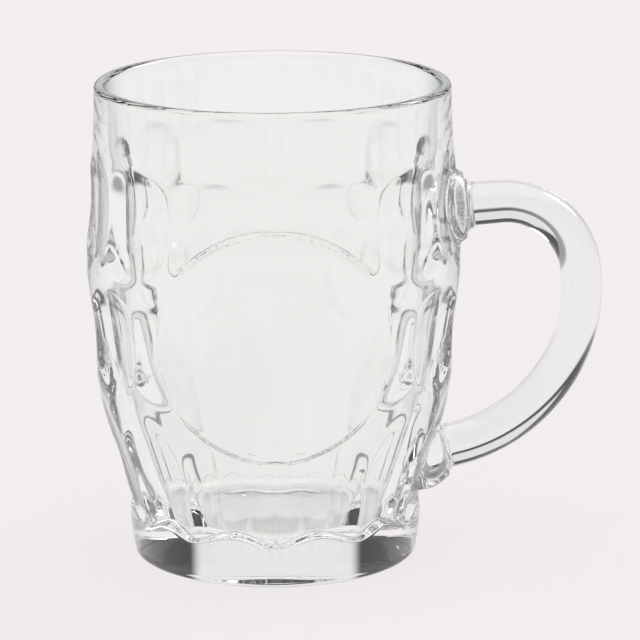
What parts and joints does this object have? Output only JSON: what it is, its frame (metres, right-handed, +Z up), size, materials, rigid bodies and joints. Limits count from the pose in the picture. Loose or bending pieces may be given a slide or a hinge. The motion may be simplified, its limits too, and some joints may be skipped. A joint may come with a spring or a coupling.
{
  "type": "dimpled glass mug",
  "caption": "Clear pressed-glass pint mug with a dimpled barrel body, a plain round front panel, a heavy ringed base and a round-bar handle.",
  "frame": {"origin": "on the body's axis in the plane of the table, at the middle of the foot", "axes": "+Z up along the body's axis; -Y is the front with the plain round panel; +X is the side with the handle"},
  "size_m": [0.1371, 0.0993, 0.1275],
  "materials": {
    "body_glass": "clear, fire-polished",
    "handle_glass": "clear, fire-polished"
  },
  "bodies": {
    "root": {"mug_body": "body_glass", "handle": "handle_glass"}
  },
  "joints": []
}
